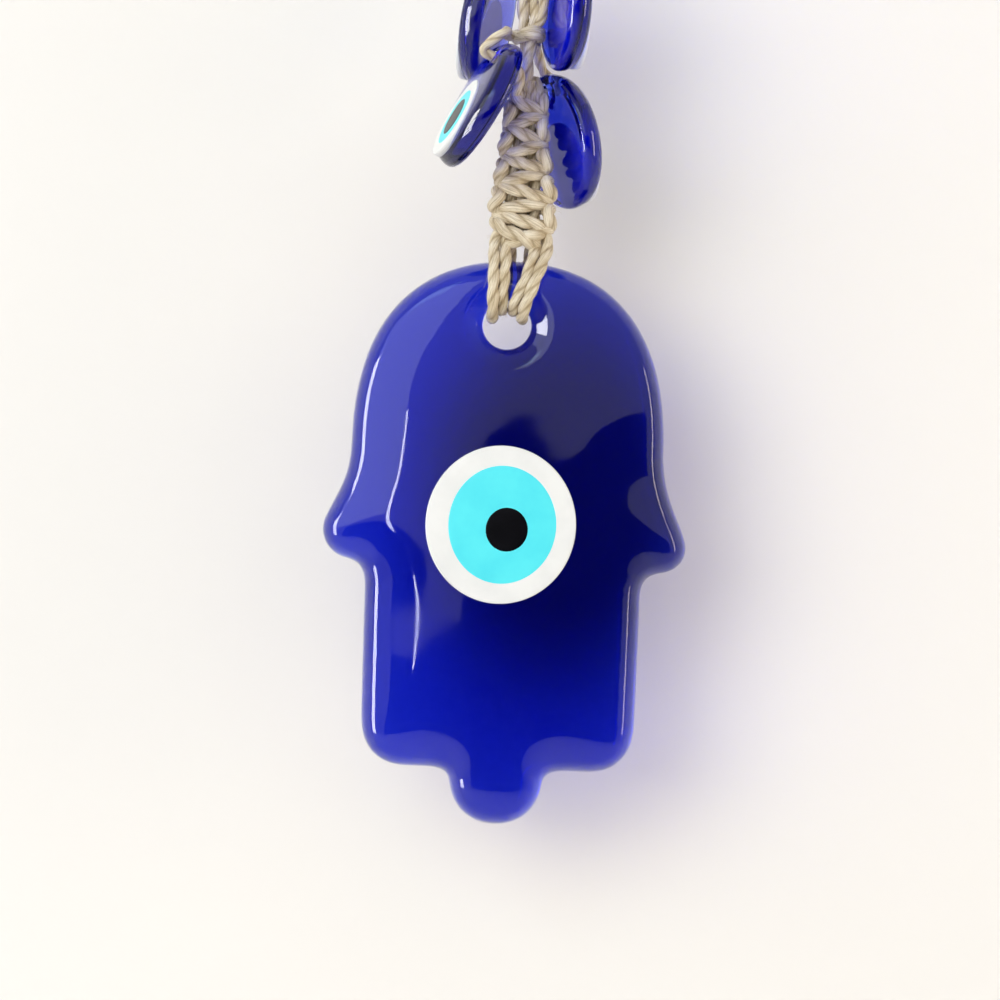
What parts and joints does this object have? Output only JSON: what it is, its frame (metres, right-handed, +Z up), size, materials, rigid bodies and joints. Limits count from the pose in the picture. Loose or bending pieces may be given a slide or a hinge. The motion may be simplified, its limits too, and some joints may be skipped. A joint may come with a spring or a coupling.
{
  "type": "evil eye wall hanging",
  "caption": "Blue glass hand amulet with a white, turquoise and black eye, hung by a knotted hemp cord with small round glass eye beads; it hangs on a nail.",
  "frame": {"origin": "the point where the nail touches the inside of the hanging loop, at the top", "axes": "+Z up along the string, -Y out of the face of the eye, +X to the viewer's right"},
  "size_m": [0.071, 0.0444, 0.224],
  "materials": {
    "cobalt_glass": "glossy cast transparent cobalt glass",
    "opal_white": "opaque white glass, satin",
    "turquoise_glass": "opaque turquoise glass, satin",
    "black_glass": "opaque black glass",
    "hemp_cord": "natural two-ply twisted hemp, hairy"
  },
  "bodies": {
    "hanger": {"hanging_loop": "hemp_cord", "top_knot": "hemp_cord"},
    "string": {"core_front": "hemp_cord", "core_back": "hemp_cord", "filler_front_left": "hemp_cord", "filler_front_right": "hemp_cord", "filler_back_left": "hemp_cord", "filler_back_right": "hemp_cord", "knot_01": "hemp_cord", "knot_02": "hemp_cord", "knot_03": "hemp_cord", "knot_04": "hemp_cord", "knot_05": "hemp_cord", "knot_06": "hemp_cord", "knot_07": "hemp_cord", "knot_08": "hemp_cord", "knot_09": "hemp_cord", "upper_knot_a": "hemp_cord", "upper_knot_b": "hemp_cord", "neck_knot_a": "hemp_cord", "neck_knot_b": "hemp_cord"},
    "mount_cords": {"mount_cord_1": "hemp_cord", "mount_cord_2": "hemp_cord", "mount_cord_3": "hemp_cord", "mount_cord_4": "hemp_cord"},
    "hamsa": {"hamsa_glass": "cobalt_glass", "hamsa_eye_white": "opal_white", "hamsa_eye_turquoise": "turquoise_glass", "hamsa_eye_pupil": "black_glass"},
    "strand_upper_left": {"bead_strand_upper_left": "hemp_cord"},
    "bead_upper_left": {"bead_upper_left_glass": "cobalt_glass", "bead_upper_left_white": "opal_white", "bead_upper_left_turquoise": "turquoise_glass", "bead_upper_left_pupil": "black_glass"},
    "strand_upper_right": {"bead_strand_upper_right": "hemp_cord"},
    "bead_upper_right": {"bead_upper_right_glass": "cobalt_glass", "bead_upper_right_white": "opal_white", "bead_upper_right_turquoise": "turquoise_glass", "bead_upper_right_pupil": "black_glass"},
    "strand_lower_left": {"bead_strand_lower_left": "hemp_cord"},
    "bead_lower_left": {"bead_lower_left_glass": "cobalt_glass", "bead_lower_left_white": "opal_white", "bead_lower_left_turquoise": "turquoise_glass", "bead_lower_left_pupil": "black_glass"},
    "strand_lower_right": {"bead_strand_lower_right": "hemp_cord"},
    "bead_lower_right": {"bead_lower_right_glass": "cobalt_glass", "bead_lower_right_white": "opal_white", "bead_lower_right_turquoise": "turquoise_glass", "bead_lower_right_pupil": "black_glass"}
  },
  "joints": [
    {"name": "string_swing", "type": "hinge", "parent": "hanger", "child": "string", "pos_m": [0.0012, 0, -0.0444], "axis": [0, 1, 0], "range_deg": [-25, 25]},
    {"name": "hamsa_tilt", "type": "hinge", "parent": "string", "child": "mount_cords", "pos_m": [0, 0, -0.1076], "axis": [1, 0, 0], "range_deg": [-12, 12]},
    {"name": "hamsa_roll", "type": "hinge", "parent": "mount_cords", "child": "hamsa", "pos_m": [0, 0, -0.1246], "axis": [0, 1, 0], "range_deg": [-9, 9]},
    {"name": "bead_upper_left_turn", "type": "hinge", "parent": "string", "child": "strand_upper_left", "pos_m": [-0.0021, 0.0023, -0.0638], "axis": [0, 0, 1], "range_deg": [-8, 2.5]},
    {"name": "bead_upper_left_spin", "type": "hinge", "parent": "strand_upper_left", "child": "bead_upper_left", "pos_m": [-0.00568, 0.00911, -0.05435], "axis": [-0.9568, 0.2332, 0.1736], "range_deg": [-12, 10]},
    {"name": "bead_upper_right_turn", "type": "hinge", "parent": "string", "child": "strand_upper_right", "pos_m": [0.0046, -0.0013, -0.0617], "axis": [0, 0, 1], "range_deg": [-10, 0]},
    {"name": "bead_upper_right_spin", "type": "hinge", "parent": "strand_upper_right", "child": "bead_upper_right", "pos_m": [0.00845, -0.004, -0.0521], "axis": [0.9724, 0.2334, 0], "range_deg": [-12, 3]},
    {"name": "bead_lower_left_turn", "type": "hinge", "parent": "string", "child": "strand_lower_left", "pos_m": [-0.0019, -0.0029, -0.0822], "axis": [0, 0, 1], "range_deg": [-8, 8]},
    {"name": "bead_lower_left_spin", "type": "hinge", "parent": "strand_lower_left", "child": "bead_lower_left", "pos_m": [-0.00396, -0.00758, -0.07365], "axis": [-0.8664, -0.208, 0.454], "range_deg": [0, 12]},
    {"name": "bead_lower_right_turn", "type": "hinge", "parent": "string", "child": "strand_lower_right", "pos_m": [0.0025, 0.0045, -0.088], "axis": [0, 0, 1], "range_deg": [0, 8]},
    {"name": "bead_lower_right_spin", "type": "hinge", "parent": "strand_lower_right", "child": "bead_lower_right", "pos_m": [0.00679, 0.00251, -0.07866], "axis": [0.8717, 0.4308, 0.2334], "range_deg": [-10, 0]}
  ]
}
